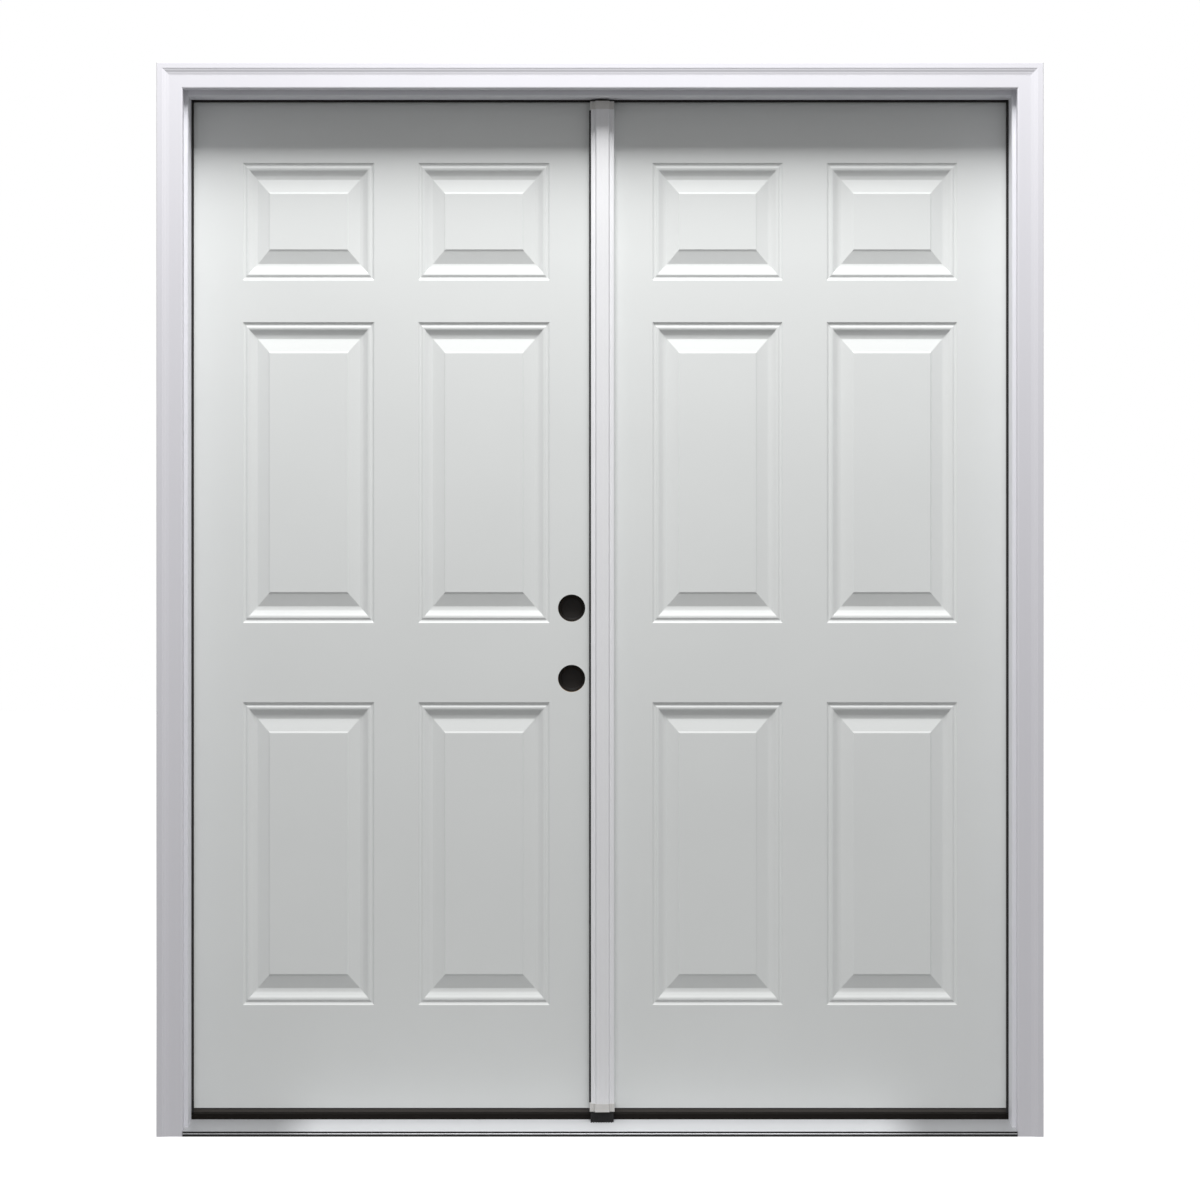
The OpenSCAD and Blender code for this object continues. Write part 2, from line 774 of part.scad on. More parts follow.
module active_hinge_stile() {
  color(pine) difference() {
    as_active() leaf_stile();
    hinge_mortises(-hinge_edge);
    leaf_hinge_screw_set(seat);
  }
}

module active_lock_stile() {
  face = [25.4, 57];
  color(pine) difference() {
    as_active() lock_edge(active_w) leaf_stile();
    latch_bores();
    for (z = lock_z) span(
      [active_edge - 2.5, mid_y - face[0] / 2, z - face[1] / 2],
      [active_edge + past, mid_y + face[0] / 2, z + face[1] / 2]
    );
  }
}

module active_lock_block() {
  color(pine) difference() {
    lock_block_room();
    lock_bores();
    latch_bores();
  }
}

module active_top_rail() {
  color(pine) as_active() leaf_inside(stile_w, active_w - stile_w, leaf_h - rail_h, leaf_h);
}

module active_bottom_rail() {
  color(pine) as_active() leaf_inside(stile_w, active_w - stile_w, 0, rail_h);
}

module active_sweep() {
  color(bronze) as_active() leaf_sweep(active_w);
}

module passive_exterior_skin() {
  color(white_steel) difference() {
    as_passive() skin_sheet(passive_w, passive_panel_w);
    mirror([1, 0, 0]) hinge_mortises(-hinge_edge - seat);
    astragal_screw_set(seat);
  }
}

module passive_interior_skin() {
  color(white_steel) difference() {
    as_passive() indoor_face() skin_sheet(passive_w, passive_panel_w);
    mirror([1, 0, 0]) hinge_mortises(-hinge_edge - seat);
    astragal_screw_set(seat);
  }
}

module passive_core() {
  color(foam) as_passive() leaf_core(passive_w, passive_panel_w);
}

module passive_hinge_stile() {
  color(pine) difference() {
    as_passive() leaf_stile();
    mirror([1, 0, 0]) hinge_mortises(-hinge_edge);
    mirror([1, 0, 0]) leaf_hinge_screw_set(seat);
  }
}

module passive_lock_stile() {
  color(pine) difference() {
    as_passive() lock_edge(passive_w) leaf_stile();
    astragal_screw_set(seat);
  }
}

module passive_top_rail() {
  color(pine) as_passive() leaf_inside(stile_w, passive_w - stile_w, leaf_h - rail_h, leaf_h);
}

module passive_bottom_rail() {
  color(pine) as_passive() leaf_inside(stile_w, passive_w - stile_w, 0, rail_h);
}

module passive_sweep() {
  color(bronze) as_passive() leaf_sweep(passive_w);
}

// Hinge nodes

module active_frame_hinges() {
  color(hinge_steel) hinge_frame_halves();
}

module passive_frame_hinges() {
  color(hinge_steel) mirror([1, 0, 0]) hinge_frame_halves();
}

module active_frame_hinge_screws() {
  color(bare_steel) frame_hinge_screw_set(0);
}

module passive_frame_hinge_screws() {
  color(bare_steel) mirror([1, 0, 0]) frame_hinge_screw_set(0);
}

module active_leaf_hinges() {
  color(hinge_steel) hinge_leaf_halves();
}

module passive_leaf_hinges() {
  color(hinge_steel) mirror([1, 0, 0]) hinge_leaf_halves();
}

module active_leaf_hinge_screws() {
  color(bare_steel) leaf_hinge_screw_set(0);
}

module passive_leaf_hinge_screws() {
  color(bare_steel) mirror([1, 0, 0]) leaf_hinge_screw_set(0);
}

module active_hinge_pins() {
  color(hinge_steel) hinge_pin_set();
}

module passive_hinge_pins() {
  color(hinge_steel) mirror([1, 0, 0]) hinge_pin_set();
}

// Astragal

// Front outline of the lip, set in from its edges by a distance
module lip_outline(in = 0) {
  ledge = 8;
  slope = 3;
  polygon([
    [lip_x[0] + in, lip_back - in], [lip_x[0] + in, lip_ledge + 2 + in], [lip_x[0] + 2 + in, lip_ledge + in],
    [lip_x[0] + ledge + in, lip_ledge + in], [lip_x[0] + ledge + slope + in, lip_front + in],
    [lip_x[1] - ledge - slope - in, lip_front + in], [lip_x[1] - ledge - in, lip_ledge + in],
    [lip_x[1] - 2 - in, lip_ledge + in], [lip_x[1] - in, lip_ledge + 2 + in], [lip_x[1] - in, lip_back - in]
  ]);
}

// Closed tube between the leaves
module tube_section() {
  difference() {
    translate([tube_x, leaf_y]) square([astragal_t, leaf_t]);
    translate([tube_x + astragal_wall, leaf_y + astragal_wall])
      square([astragal_t - 2 * astragal_wall, leaf_t - 2 * astragal_wall]);
  }
}

// Legs that carry the lip in front of the tube; the right one also covers the passive leaf's edge
module leg_section() {
  translate([tube_x, lip_back]) square([astragal_wall, seal_room]);
  translate([passive_edge - astragal_wall, lip_back]) square([lip_cover + astragal_wall, seal_room]);
}

// Small ribs along the lip's two ledges
module lip_ribs() {
  for (x = [lip_x[0] + 4.5, lip_x[1] - 5.5]) translate([x, lip_ledge - 0.8]) square([1, 1]);
}

module astragal() {
  color(white_steel) difference() {
    union() {
      upright(tube_z[0], tube_z[1]) tube_section();
      upright(lip_z[0], lip_z[1]) leg_section();
    }
    bolt_slots();
    strike_rooms(seat);
    astragal_screw_set(seat);
    for (z = astragal_screw_z) translate([tube_x - past, astragal_screw_y, z]) rotate([0, 90, 0])
      cylinder(r = screw_head_r + 0.6, h = astragal_wall + 2 * past);
  }
}

// Hollow cover on the legs, which laps over both leaves
module astragal_lip() {
  color(white_steel) upright(lip_z[0], lip_z[1]) {
    difference() {
      lip_outline();
      lip_outline(astragal_wall);
    }
    lip_ribs();
  }
}

module astragal_screw_set(clear) {
  for (z = astragal_screw_z) translate([passive_edge - astragal_wall, astragal_screw_y, z]) rotate([0, 90, 0])
    screw(astragal_screw, clear, head_h = 1.9);
}

module astragal_screws() {
  color(bare_steel) astragal_screw_set(0);
}

module bolt_slots() {
  x0 = tube_x - past;
  x1 = tube_x + astragal_wall + past;
  y = [bolt_y - thumb_w / 2 - fit, bolt_y + thumb_w / 2 + fit];
  top_foot = tube_z[1] - bolt_len;
  bottom_head = bolt_foot + bolt_len;
  span([x0, y[0], top_foot - 2], [x1, y[1], top_foot + thumb_h + top_bolt_travel + 2]);
  span([x0, y[0], bottom_head - thumb_h - bottom_bolt_travel - 2], [x1, y[1], bottom_head + 2]);
}

module bolt(foot, thumb_z) {
  translate([bolt_x, bolt_y, foot]) cylinder(r = bolt_d / 2, h = bolt_len);
  span([tube_x + thumb_sunk, bolt_y - thumb_w / 2, thumb_z], [bolt_x, bolt_y + thumb_w / 2, thumb_z + thumb_h]);
}

module top_bolt() {
  foot = tube_z[1] - bolt_len;
  color(bare_steel) bolt(foot, foot);
}

module bottom_bolt() {
  color(bare_steel) bolt(bolt_foot, bolt_foot + bolt_len - thumb_h);
}

// Plugs in the tube's ends that guide the bolts; the lower one also closes the gap above the cap
module bolt_guides() {
  inner = [tube_x, leaf_y] + (astragal_wall + seat) * [1, 1];
  size = [astragal_t, leaf_t] - 2 * (astragal_wall + seat) * [1, 1];
  foot_z = cap_top + fit + 0.5;
  color(boot_grey) difference() {
    union() {
      upright(tube_z[1] - guide_h, tube_z[1]) translate(inner) square(size);
      upright(tube_z[0] - seat, tube_z[0] + guide_h) translate(inner) square(size);
      span([tube_x + seat, leaf_y + 0.5, foot_z], [passive_edge - seat, jamb_d - 0.5, tube_z[0]]);
    }
    translate([bolt_x, bolt_y, foot_z - past]) cylinder(r = bolt_hole_r, h = tube_z[1] - foot_z + 2 * past);
  }
}

// Caps on the lip's ends
module astragal_top_cap() {
  color(boot_grey) {
    upright(lip_z[1], lip_z[1] + top_cap_h) lip_outline();
    upright(lip_z[1] - 12, lip_z[1]) lip_outline(astragal_wall + seat);
  }
}

module astragal_bottom_cap() {
  wider = 1.5;
  color(boot_grey) {
    upright(boot_z, lip_z[0]) translate([0, -wider / 2]) lip_outline(-wider / 2);
    upright(lip_z[0] - seat, lip_z[0] + 12) lip_outline(astragal_wall + seat);
  }
}

// Dark seal on the back of the lip: a fin past its edge and a bulb by the tube
module astragal_seal() {
  fin = 2;
  fin_t = 1;
  bulb_r = 3;
  bulb_x = tube_x - bulb_r - 5;
  color(dark_seal) upright(lip_z[0], lip_z[1]) {
    translate([lip_x[0] - fin, lip_back]) square([bulb_x - lip_x[0] + fin, fin_t]);
    translate([bulb_x - 1, lip_back]) square([2, seal_room - 1 - bulb_r]);
    translate([bulb_x, leaf_y - 1 - bulb_r]) circle(bulb_r);
  }
}

// Strike plates let into the tube's face, opposite the latch bores
module strike_rooms(clear) {
  for (z = lock_z) {
    span(
      [tube_x - clear, mid_y - strike_plate[0] / 2 - clear, z - strike_plate[1] / 2 - clear],
      [tube_x + strike_plate[2] + clear, mid_y + strike_plate[0] / 2 + clear, z + strike_plate[1] / 2 + clear]
    );
    strike_opening(z, strike_window);
  }
  strike_screw_set(clear);
}

module strike_opening(z, size) {
  span(
    [tube_x - past, mid_y - size[0] / 2, z - size[1] / 2],
    [tube_x + astragal_wall + past, mid_y + size[0] / 2, z + size[1] / 2]
  );
}

module strike_plates() {
  color(bare_steel) difference() {
    for (z = lock_z) span(
      [tube_x, mid_y - strike_plate[0] / 2, z - strike_plate[1] / 2],
      [tube_x + strike_plate[2], mid_y + strike_plate[0] / 2, z + strike_plate[1] / 2]
    );
    for (z = lock_z) strike_opening(z, strike_window - [2, 2]);
    strike_screw_set(seat / 2);
  }
}

module strike_screw_set(clear) {
  for (z = lock_z, side = [-1, 1]) translate([tube_x, mid_y, z + side * (strike_plate[1] / 2 - 7)])
    rotate([0, 90, 0]) screw(9, clear, head_r = 3.2, shank_r = strike_screw_r, head_h = 1);
}

module strike_screws() {
  color(bare_steel) strike_screw_set(0);
}

left_jamb();
right_jamb();
head_jamb();
left_brickmould();
right_brickmould();
head_brickmould();
frame_screws();
sill_base();
sill_deck();
sill_pad();
sill_cap();
sill_cap_screws();
left_weatherstrip();
right_weatherstrip();
head_weatherstrip();
corner_pads();
head_bolt_strike();
active_frame_hinges();
passive_frame_hinges();
active_frame_hinge_screws();
passive_frame_hinge_screws();
active_hinge_pins();
passive_hinge_pins();
active_exterior_skin();
active_interior_skin();
active_core();
active_hinge_stile();
active_lock_stile();
active_lock_block();
active_top_rail();
active_bottom_rail();
active_sweep();
active_leaf_hinges();
active_leaf_hinge_screws();
passive_exterior_skin();
passive_interior_skin();
passive_core();
passive_hinge_stile();
passive_lock_stile();
passive_top_rail();
passive_bottom_rail();
passive_sweep();
passive_leaf_hinges();
passive_leaf_hinge_screws();
astragal();
astragal_lip();
astragal_seal();
astragal_top_cap();
astragal_bottom_cap();
astragal_screws();
bolt_guides();
strike_plates();
strike_screws();
top_bolt();
bottom_bolt();
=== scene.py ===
import json
import math

import bmesh
import bpy
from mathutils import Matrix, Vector
from mathutils.geometry import delaunay_2d_cdt


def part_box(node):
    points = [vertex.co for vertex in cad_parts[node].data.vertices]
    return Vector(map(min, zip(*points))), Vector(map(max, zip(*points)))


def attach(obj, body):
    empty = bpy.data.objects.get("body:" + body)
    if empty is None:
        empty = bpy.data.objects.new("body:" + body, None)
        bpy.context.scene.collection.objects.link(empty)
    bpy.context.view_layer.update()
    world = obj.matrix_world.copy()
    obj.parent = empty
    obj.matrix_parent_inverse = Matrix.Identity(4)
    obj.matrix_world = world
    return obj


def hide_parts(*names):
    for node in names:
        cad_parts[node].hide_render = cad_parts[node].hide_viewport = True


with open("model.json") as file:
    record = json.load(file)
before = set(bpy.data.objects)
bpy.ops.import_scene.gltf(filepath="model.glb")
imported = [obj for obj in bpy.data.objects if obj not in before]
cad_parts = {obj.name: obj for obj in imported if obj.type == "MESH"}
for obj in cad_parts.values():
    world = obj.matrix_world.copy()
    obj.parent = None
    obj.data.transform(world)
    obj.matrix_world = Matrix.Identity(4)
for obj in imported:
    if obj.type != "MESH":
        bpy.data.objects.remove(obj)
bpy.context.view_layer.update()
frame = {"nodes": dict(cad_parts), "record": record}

# Prehung double exterior door: pressed skins, eased casings and lip, screws, finishes, light and camera.
# X runs across the opening, -Y faces outdoors and Z is up. Sizes are in millimetres, meshes in metres.

MM = 0.001

# Leaves
SKIN_T = 0.7
FOLD_R = 1.2
FOLD_W = 9.0
FOLD_STEPS = 5
HINGE_STILE = 109.5
MULLION = 87.5
LOCK_STILE = {"active": 104.0, "passive": 79.5}
PANEL_ROWS = [(204.0, 805.0), (962.0, 1559.0), (1642.0, 1875.0)]
EMBOSS_D = 9.2
MOULD_SIDE_W = 53.5
MOULD_RAIL_W = 61.5
# Panel moulding: share of its width from the outline inwards, share of the embossing's depth
MOULDING = [
    (0, 0), (0.05, 0.24), (0.09, 0.33), (0.125, 0.27), (0.17, 0.15), (0.215, 0.18),
    (0.32, 0.57), (0.43, 0.91), (0.54, 1), (0.94, 0.33), (1, 0.13),
]
MOULDING_STEPS = 6
BEVEL_FROM = 0.54
BORE_R = 27.0
BORE_SIDES = 64
BORE_BACKSET = 60.3
BORE_H = [852.0, 991.7]
# Dark plug in a bore, painting the shade seen through it: how far it is set back, and its section as radius
# and depth
PLUG_BACK = 17.0
PLUG_SECTION = [(0, 3), (20, 3), (21.5, 1.5), (22.5, 0), (26.7, 0), (26.9, 1), (26.9, 9), (0, 9)]
PLUG_SIDES = 48

# Casing
CASING_W = 50.8
BACK_BAND = 11.0
# Steps from the back band down to the flat: distance from the band, drop below it
CASING_FALL = [(1.6, 0.72), (3.8, 1.1), (8.0, 2.5), (10.0, 2.75), (12.0, 3.2), (14.0, 3.45)]
OUTER_EASE = 1.6
BAND_EASE = 0.8
STEP_EASE = 0.3
INNER_EASE = 3.2
# How far the head casing stands above its solid
HEAD_LIFT = 3.2

# Astragal lip
FLUTES = 4
FLUTE_W = 1.4
FLUTE_D = 0.35
# How much narrower the lip is than its solid, at its left edge
LIP_TRIM = 1.6
# Ledge along each side, and the slope from it to the flat
LEDGE_D = 8.5
LEDGE_W = 8.0
SHOULDER_W = 11.0
LIP_EASE = 2.0
LEDGE_EASE = 0.8
SHOULDER_EASE = 1.5
# Rib along each ledge: how far in from the lip's edge, its foot, its crown and its height
RIB_IN = 5.0
RIB_FOOT = 1.6
RIB_CROWN = 0.8
RIB_H = 0.8

# Sill deck: heights above the floor
DECK_FRONT = 10.6
NOSE_GROOVE = (6.6, 9.9)
NOSE_FOOT = 3.4
# Distances back from the nose
DECK_EDGE = 1.3
NOSE_WALL = 7.0
NOSE_LEAN = 3.0
GROOVE_LIP = 1.5
GROOVE_BACK = 5.4
FOOT_BACK = 5.5
# Front and back of the dark strips that paint shade in the groove and under the nose
SHADE_STRIP_FRONT = 2.0
SHADE_STRIP_BACK = 5.3
# Round of the nose: distance back from it, drop below the groove
NOSE_ROUND = [(0.0, 0.8), (0.5, 0.2), (1.8, 0.0)]
# Thickness of the deck at its back edge, at the jambs and in front
DECK_T_BACK = 6.0
DECK_T_JAMB = 2.3
DECK_T_FRONT = 0.4
# Depth of the step where the deck narrows behind the casings, and how much it narrows at each end
JAMB_STEP = 0.01
CASING_REVEAL = 7.7
# Gap round the dark strips that paint shade in the groove and under the nose
SHADE_STRIP_GAP = 0.05
# Half lengths between which painted shade darkens the deck towards its ends
DECK_LIT_X = 540
DECK_SHADED_X = 650

# Hinges
HINGE_H = 101.6
HINGE_FROM_TOP = 178.0
HINGE_FROM_BOTTOM = 279.0
HINGE_W = 32.0
HINGE_SCREW_ROWS = [-0.39, -0.15, 0.15, 0.39]
HINGE_SCREW_IN = [0.3, 0.66]
HINGE_NOTCH_GAP = 0.2

# Screws: radius of the head and of the shank, height of the head, length
HINGE_SCREW = (4.2, 2.3, 2.3, 16)
STRIKE_SCREW = (3.2, 1.6, 1.0, 9)
# Distance of the strike screws from the middle of their plate
STRIKE_SCREW_OFF = 22.0
SCREW_TIP_R = 0.4
SCREW_SIDES = 32
# Cross recess: its arm and half its slot as shares of the head's radius, its foot as shares of its mouth
# along x and y, and its depth as a share of the head's height
CROSS_ARM = 0.62
CROSS_SLOT = 0.15
CROSS_FOOT = (0.55, 0.8)
CROSS_DEPTH = 0.7


# Meshes

SHARP = math.radians(28)
ALONG_AXIS = 0.99999
SAME_POINT = 1e-6
SKIN_WELD = 0.01
SCREW_WELD = 0.001


def sharpen(bm):
    """Smooth faces that meet in a sharp edge at a wide angle, or where only one is part of a flat."""
    for face in bm.faces:
        face.smooth = True
    for edge in bm.edges:
        if len(edge.link_faces) == 2:
            flats = {max(abs(c) for c in face.normal) > ALONG_AXIS for face in edge.link_faces}
            if len(flats) == 2 or edge.calc_face_angle() > SHARP:
                edge.smooth = False


def shown_mesh(name, bm):
    """Object with that mesh at the origin."""
    sharpen(bm)
    mesh = bpy.data.meshes.new(name)
    bm.to_mesh(mesh)
    bm.free()
    piece = bpy.data.objects.new(name, mesh)
    bpy.context.scene.collection.objects.link(piece)
    return piece


def baked(piece):
    """Turns a piece and its modifiers into a plain mesh."""
    graph = bpy.context.evaluated_depsgraph_get()
    mesh = bpy.data.meshes.new_from_object(piece.evaluated_get(graph))
    piece.modifiers.clear()
    old = piece.data
    piece.data = mesh
    bpy.data.meshes.remove(old)
    return piece


def circle(centre, radius, count):
    turns = [2 * math.pi * k / count for k in range(count)]
    return [(centre[0] + radius * math.cos(a), centre[1] + radius * math.sin(a)) for a in turns]


def rectangle(x0, x1, y0, y1):
    return [(x0, y0), (x1, y0), (x1, y1), (x0, y1)]


def inside(point, loop):
    """Whether a point lies in a closed loop of points."""
    hit = False
    for (xa, ya), (xb, yb) in zip(loop, loop[1:] + loop[:1]):
        if (ya > point[1]) != (yb > point[1]) and point[0] < xa + (point[1] - ya) * (xb - xa) / (yb - ya):
            hit = not hit
    return hit


def plate(outer, holes):
    """Triangles that fill a loop apart from its holes: points and index triples."""
    points = []
    edges = []
    for loop in [outer] + holes:
        first = len(points)
        points += [Vector(p) for p in loop]
        edges += [(first + k, first + (k + 1) % len(loop)) for k in range(len(loop))]
    found, _, triangles, _, _, _ = delaunay_2d_cdt(points, edges, [], 0, SAME_POINT)
    kept = []
    for triangle in triangles:
        middle = sum((found[k] for k in triangle), Vector((0, 0))) / 3
        if inside(middle, outer) and not any(inside(middle, hole) for hole in holes):
            kept.append(triangle)
    return found, kept


def eased(corners, steps=5):
    """Outline through corners given as (x, y, radius), each rounded by its radius."""
    outline = []
    for k, (x, y, radius) in enumerate(corners):
        here = Vector((x, y))
        before = Vector(corners[k - 1][:2]) - here
        after = Vector(corners[(k + 1) % len(corners)][:2]) - here
        if radius == 0:
            outline.append((x, y))
            continue
        half = before.angle(after) / 2
        reach = radius / math.tan(half)
        start = here + before.normalized() * reach
        end = here + after.normalized() * reach
        for step in range(steps + 1):
            t = step / steps
            bend = start * (1 - t) ** 2 + here * 2 * t * (1 - t) + end * t ** 2
            outline.append((bend.x, bend.y))
    return outline


def extruded(name, outline, start, end):
    """Solid between two placings of one outline; start and end turn an outline point into a place in mm."""
    bm = bmesh.new()
    low = [bm.verts.new(Vector(start(p)) * MM) for p in outline]
    high = [bm.verts.new(Vector(end(p)) * MM) for p in outline]
    caps = [bm.faces.new(low), bm.faces.new(high)]
    for k in range(len(outline)):
        j = (k + 1) % len(outline)
        bm.faces.new((low[k], low[j], high[j], high[k]))
    for cap in caps:
        for edge in cap.edges:
            edge.smooth = False
    bmesh.ops.recalc_face_normals(bm, faces=bm.faces)
    return shown_mesh(name, bm)


# Finishes

def linear(code):
    """Linear colour from an sRGB hex code."""
    shares = [int(code[k:k + 2], 16) / 255 for k in (1, 3, 5)]
    return tuple(s / 12.92 if s <= 0.04045 else ((s + 0.055) / 1.055) ** 2.4 for s in shares) + (1.0,)


def add(tree, kind, settings=None, inputs=None):
    """Adds a node; an input that is a socket is linked, and any other is set."""
    node = tree.nodes.new(kind)
    for name, value in (settings or {}).items():
        setattr(node, name, value)
    for name, value in (inputs or {}).items():
        if isinstance(value, bpy.types.NodeSocket):
            tree.links.new(value, node.inputs[name])
        else:
            node.inputs[name].default_value = value
    return node


def coat(
    name, tones, tone_mm, rough, grain_mm, grain_depth, stretch=(1, 1, 1), metal=0.0, specular=0.4
):
    """Finish in soft patches of two near tones with a fine relief; stretch draws both out along an axis."""
    mat = bpy.data.materials.new(name)
    mat.use_nodes = True
    tree = mat.node_tree
    shader = tree.nodes["Principled BSDF"]
    place = add(tree, "ShaderNodeTexCoord").outputs["Object"]
    along = add(tree, "ShaderNodeMapping", inputs={"Vector": place, "Scale": stretch}).outputs["Vector"]
    patch = add(tree, "ShaderNodeTexNoise", inputs={
        "Vector": along, "Scale": 1 / (tone_mm * MM), "Detail": 3.0})
    grain = add(tree, "ShaderNodeTexNoise", inputs={
        "Vector": along, "Scale": 1 / (grain_mm * MM), "Detail": 2.0})
    tone = add(tree, "ShaderNodeMix", {"data_type": "RGBA"}, {
        "Factor": patch.outputs["Fac"], "A": linear(tones[0]), "B": linear(tones[1])})
    tree.links.new(tone.outputs["Result"], shader.inputs["Base Color"])
    height = grain.outputs["Fac"]
    sheen = add(tree, "ShaderNodeMapRange", inputs={
        "Value": height, "To Min": rough[0], "To Max": rough[1]})
    tree.links.new(sheen.outputs["Result"], shader.inputs["Roughness"])
    relief = add(tree, "ShaderNodeBump", inputs={
        "Height": height, "Distance": grain_depth * MM, "Strength": 0.6})
    tree.links.new(relief.outputs["Normal"], shader.inputs["Normal"])
    shader.inputs["Metallic"].default_value = metal
    shader.inputs["Specular IOR Level"].default_value = specular
    return mat


finishes = {
    # Satin baked enamel: an even white with a barely visible orange peel that softens the highlights
    "painted_skin": coat(
        "satin_enamel_on_steel", ("#E8EAE9", "#E3E5E4"), 240, (0.5, 0.58), 2.6, 0.02, specular=0.2),
    # Brushed paint on wood: faint upright brush marks and a cooler white
    "painted_jamb": coat(
        "painted_pine_jamb", ("#EAEAEE", "#E3E3E8"), 130, (0.45, 0.6), 1.8, 0.05, (1, 1, 0.06)),
    # Sprayed casing: smooth, slightly lilac white
    "painted_casing": coat(
        "painted_brickmould", ("#E4E3E8", "#DEDDE3"), 180, (0.45, 0.55), 1.6, 0.03, (1, 1, 0.2)),
    # Zinc plate: bluish steel with small cloudy patches
    "zinc_steel": coat(
        "zinc_plated_steel", ("#B4B7BB", "#9DA0A6"), 3, (0.28, 0.42), 0.8, 0.02, metal=1.0),
    # Wood and resin composite: grey-brown with fine specks
    "composite": coat(
        "wood_composite_sill", ("#8F857C", "#7A7068"), 9, (0.6, 0.8), 1.1, 0.15),
    # Mill finish: a white, half dull aluminium with fine extrusion lines along the sill
    "mill_aluminium": coat(
        "mill_finish_aluminium", ("#EDEEF0", "#E4E6E9"), 60, (0.34, 0.46), 0.7, 0.03, (0.01, 1, 1),
        metal=0.2),
    # Foam strip in a black film: soft creases and a dull shine
    "dark_foam": coat(
        "film_over_foam_strip", ("#191718", "#100F10"), 30, (0.4, 0.6), 3.5, 0.3, (1, 1, 0.3)),
    # Dark bronze vinyl cap: nearly black brown, finely ribbed along its length
    "bronze_cap": coat(
        "dark_bronze_vinyl", ("#16110D", "#0D0A07"), 50, (0.6, 0.75), 0.9, 0.06, (0.01, 1, 1),
        specular=0.15),
    # Rubber seal: matt black with a fine skin
    "dark_seal": coat(
        "black_rubber_seal", ("#1D191A", "#141213"), 12, (0.55, 0.7), 0.9, 0.05),
    # Satin nickel hinges: grey metal with a fine brush along the plates
    "hinge_steel": coat(
        "satin_nickel_steel", ("#BFC0BF", "#ABADAD"), 14, (0.26, 0.4), 0.5, 0.012, (1, 1, 0.05),
        metal=1.0),
    # Closed-cell foam: pale yellow with small cells
    "foam_core": coat(
        "polyurethane_foam", ("#EADFB8", "#DDCF9F"), 6, (0.75, 0.9), 1.2, 0.25),
    # Pine: warm bands along the grain
    "pine": coat(
        "finger_jointed_pine", ("#D2B385", "#B98F5C"), 7, (0.55, 0.7), 0.9, 0.08, (1, 1, 0.04)),
    # Bronze vinyl sweep: brown grey with lines along its length
    "bronze_sweep": coat(
        "bronze_vinyl_sweep", ("#4E4A46", "#413D3A"), 40, (0.45, 0.6), 0.8, 0.08, (0.02, 1, 1)),
    # Powder coat on the astragal: white with a fine pebble
    "painted_aluminium": coat(
        "powder_coated_aluminium", ("#F1F1F3", "#ECECEE"), 160, (0.4, 0.5), 0.9, 0.015),
    # Moulded end caps: pale warm grey plastic with a soft mould texture
    "grey_cap": coat(
        "grey_moulded_nylon", ("#DAD8D5", "#CFCDCA"), 8, (0.5, 0.6), 0.7, 0.03),
}


def paint_end_shade(mat, tone, lit_x, shaded_x):
    """Paints shade on a finish, darkening it towards both ends of a long piece."""
    tree = mat.node_tree
    base = tree.nodes["Principled BSDF"].inputs["Base Color"]
    here = add(tree, "ShaderNodeTexCoord").outputs["Object"]
    place = add(tree, "ShaderNodeSeparateXYZ", inputs={0: here})
    off = add(tree, "ShaderNodeMath", {"operation": "ABSOLUTE"}, {0: place.outputs["X"]})
    share = add(tree, "ShaderNodeMapRange", {"interpolation_type": "SMOOTHSTEP"}, {
        "Value": off.outputs[0], "From Min": lit_x * MM, "From Max": shaded_x * MM})
    mixed = add(tree, "ShaderNodeMix", {"data_type": "RGBA"}, {
        "Factor": share.outputs["Result"], "A": base.links[0].from_socket, "B": linear(tone)})
    tree.links.new(mixed.outputs["Result"], base)


# Painted shade: the deck is bright in the middle and darkened towards the casings
paint_end_shade(finishes["mill_aluminium"], "#ABACAE", DECK_LIT_X, DECK_SHADED_X)
for part in frame["record"]["subparts"]:
    node = frame["nodes"][part["node"]]
    node.data.materials.clear()
    node.data.materials.append(finishes[part["material_slot"]])

# Painted shade in the lock bores: the plugs are dull black with a faint mould grain
bore_shade_finish = coat("black_painted_bore_shade", ("#121112", "#0B0A0B"), 9, (0.6, 0.75), 0.8, 0.04)


def dress(piece, body, slot, finish, *nodes):
    """Gives a piece its finish if it has none and the body it moves with, and hides the nodes it stands
    for; slot is not used.
    """
    if not piece.data.materials:
        piece.data.materials.append(finish)
    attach(piece, body)
    if nodes:
        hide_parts(*nodes)


# Pressed skins

def smooth_moulding():
    """The moulding drawn as a smooth line through its points that never passes a point's depth."""
    slopes = [(b[1] - a[1]) / (b[0] - a[0]) for a, b in zip(MOULDING, MOULDING[1:])]
    tangents = [slopes[0]]
    for a, b in zip(slopes, slopes[1:]):
        tangents.append(0 if a * b <= 0 else 2 * a * b / (a + b))
    tangents.append(slopes[-1])
    line = [MOULDING[0]]
    for k, (a, b) in enumerate(zip(MOULDING, MOULDING[1:])):
        run = b[0] - a[0]
        if a[0] >= BEVEL_FROM:
            line.append(b)
            continue
        for step in range(1, MOULDING_STEPS + 1):
            t = step / MOULDING_STEPS
            depth = (
                a[1] * (2 * t ** 3 - 3 * t ** 2 + 1) + run * tangents[k] * (t ** 3 - 2 * t ** 2 + t)
                + b[1] * (3 * t ** 2 - 2 * t ** 3) + run * tangents[k + 1] * (t ** 3 - t ** 2)
            )
            line.append((a[0] + run * t, depth))
    return line


def hinge_heights(leaf_h):
    low = HINGE_FROM_BOTTOM + HINGE_H / 2
    high = leaf_h - HINGE_FROM_TOP - HINGE_H / 2
    return [low, (low + high) / 2, high]


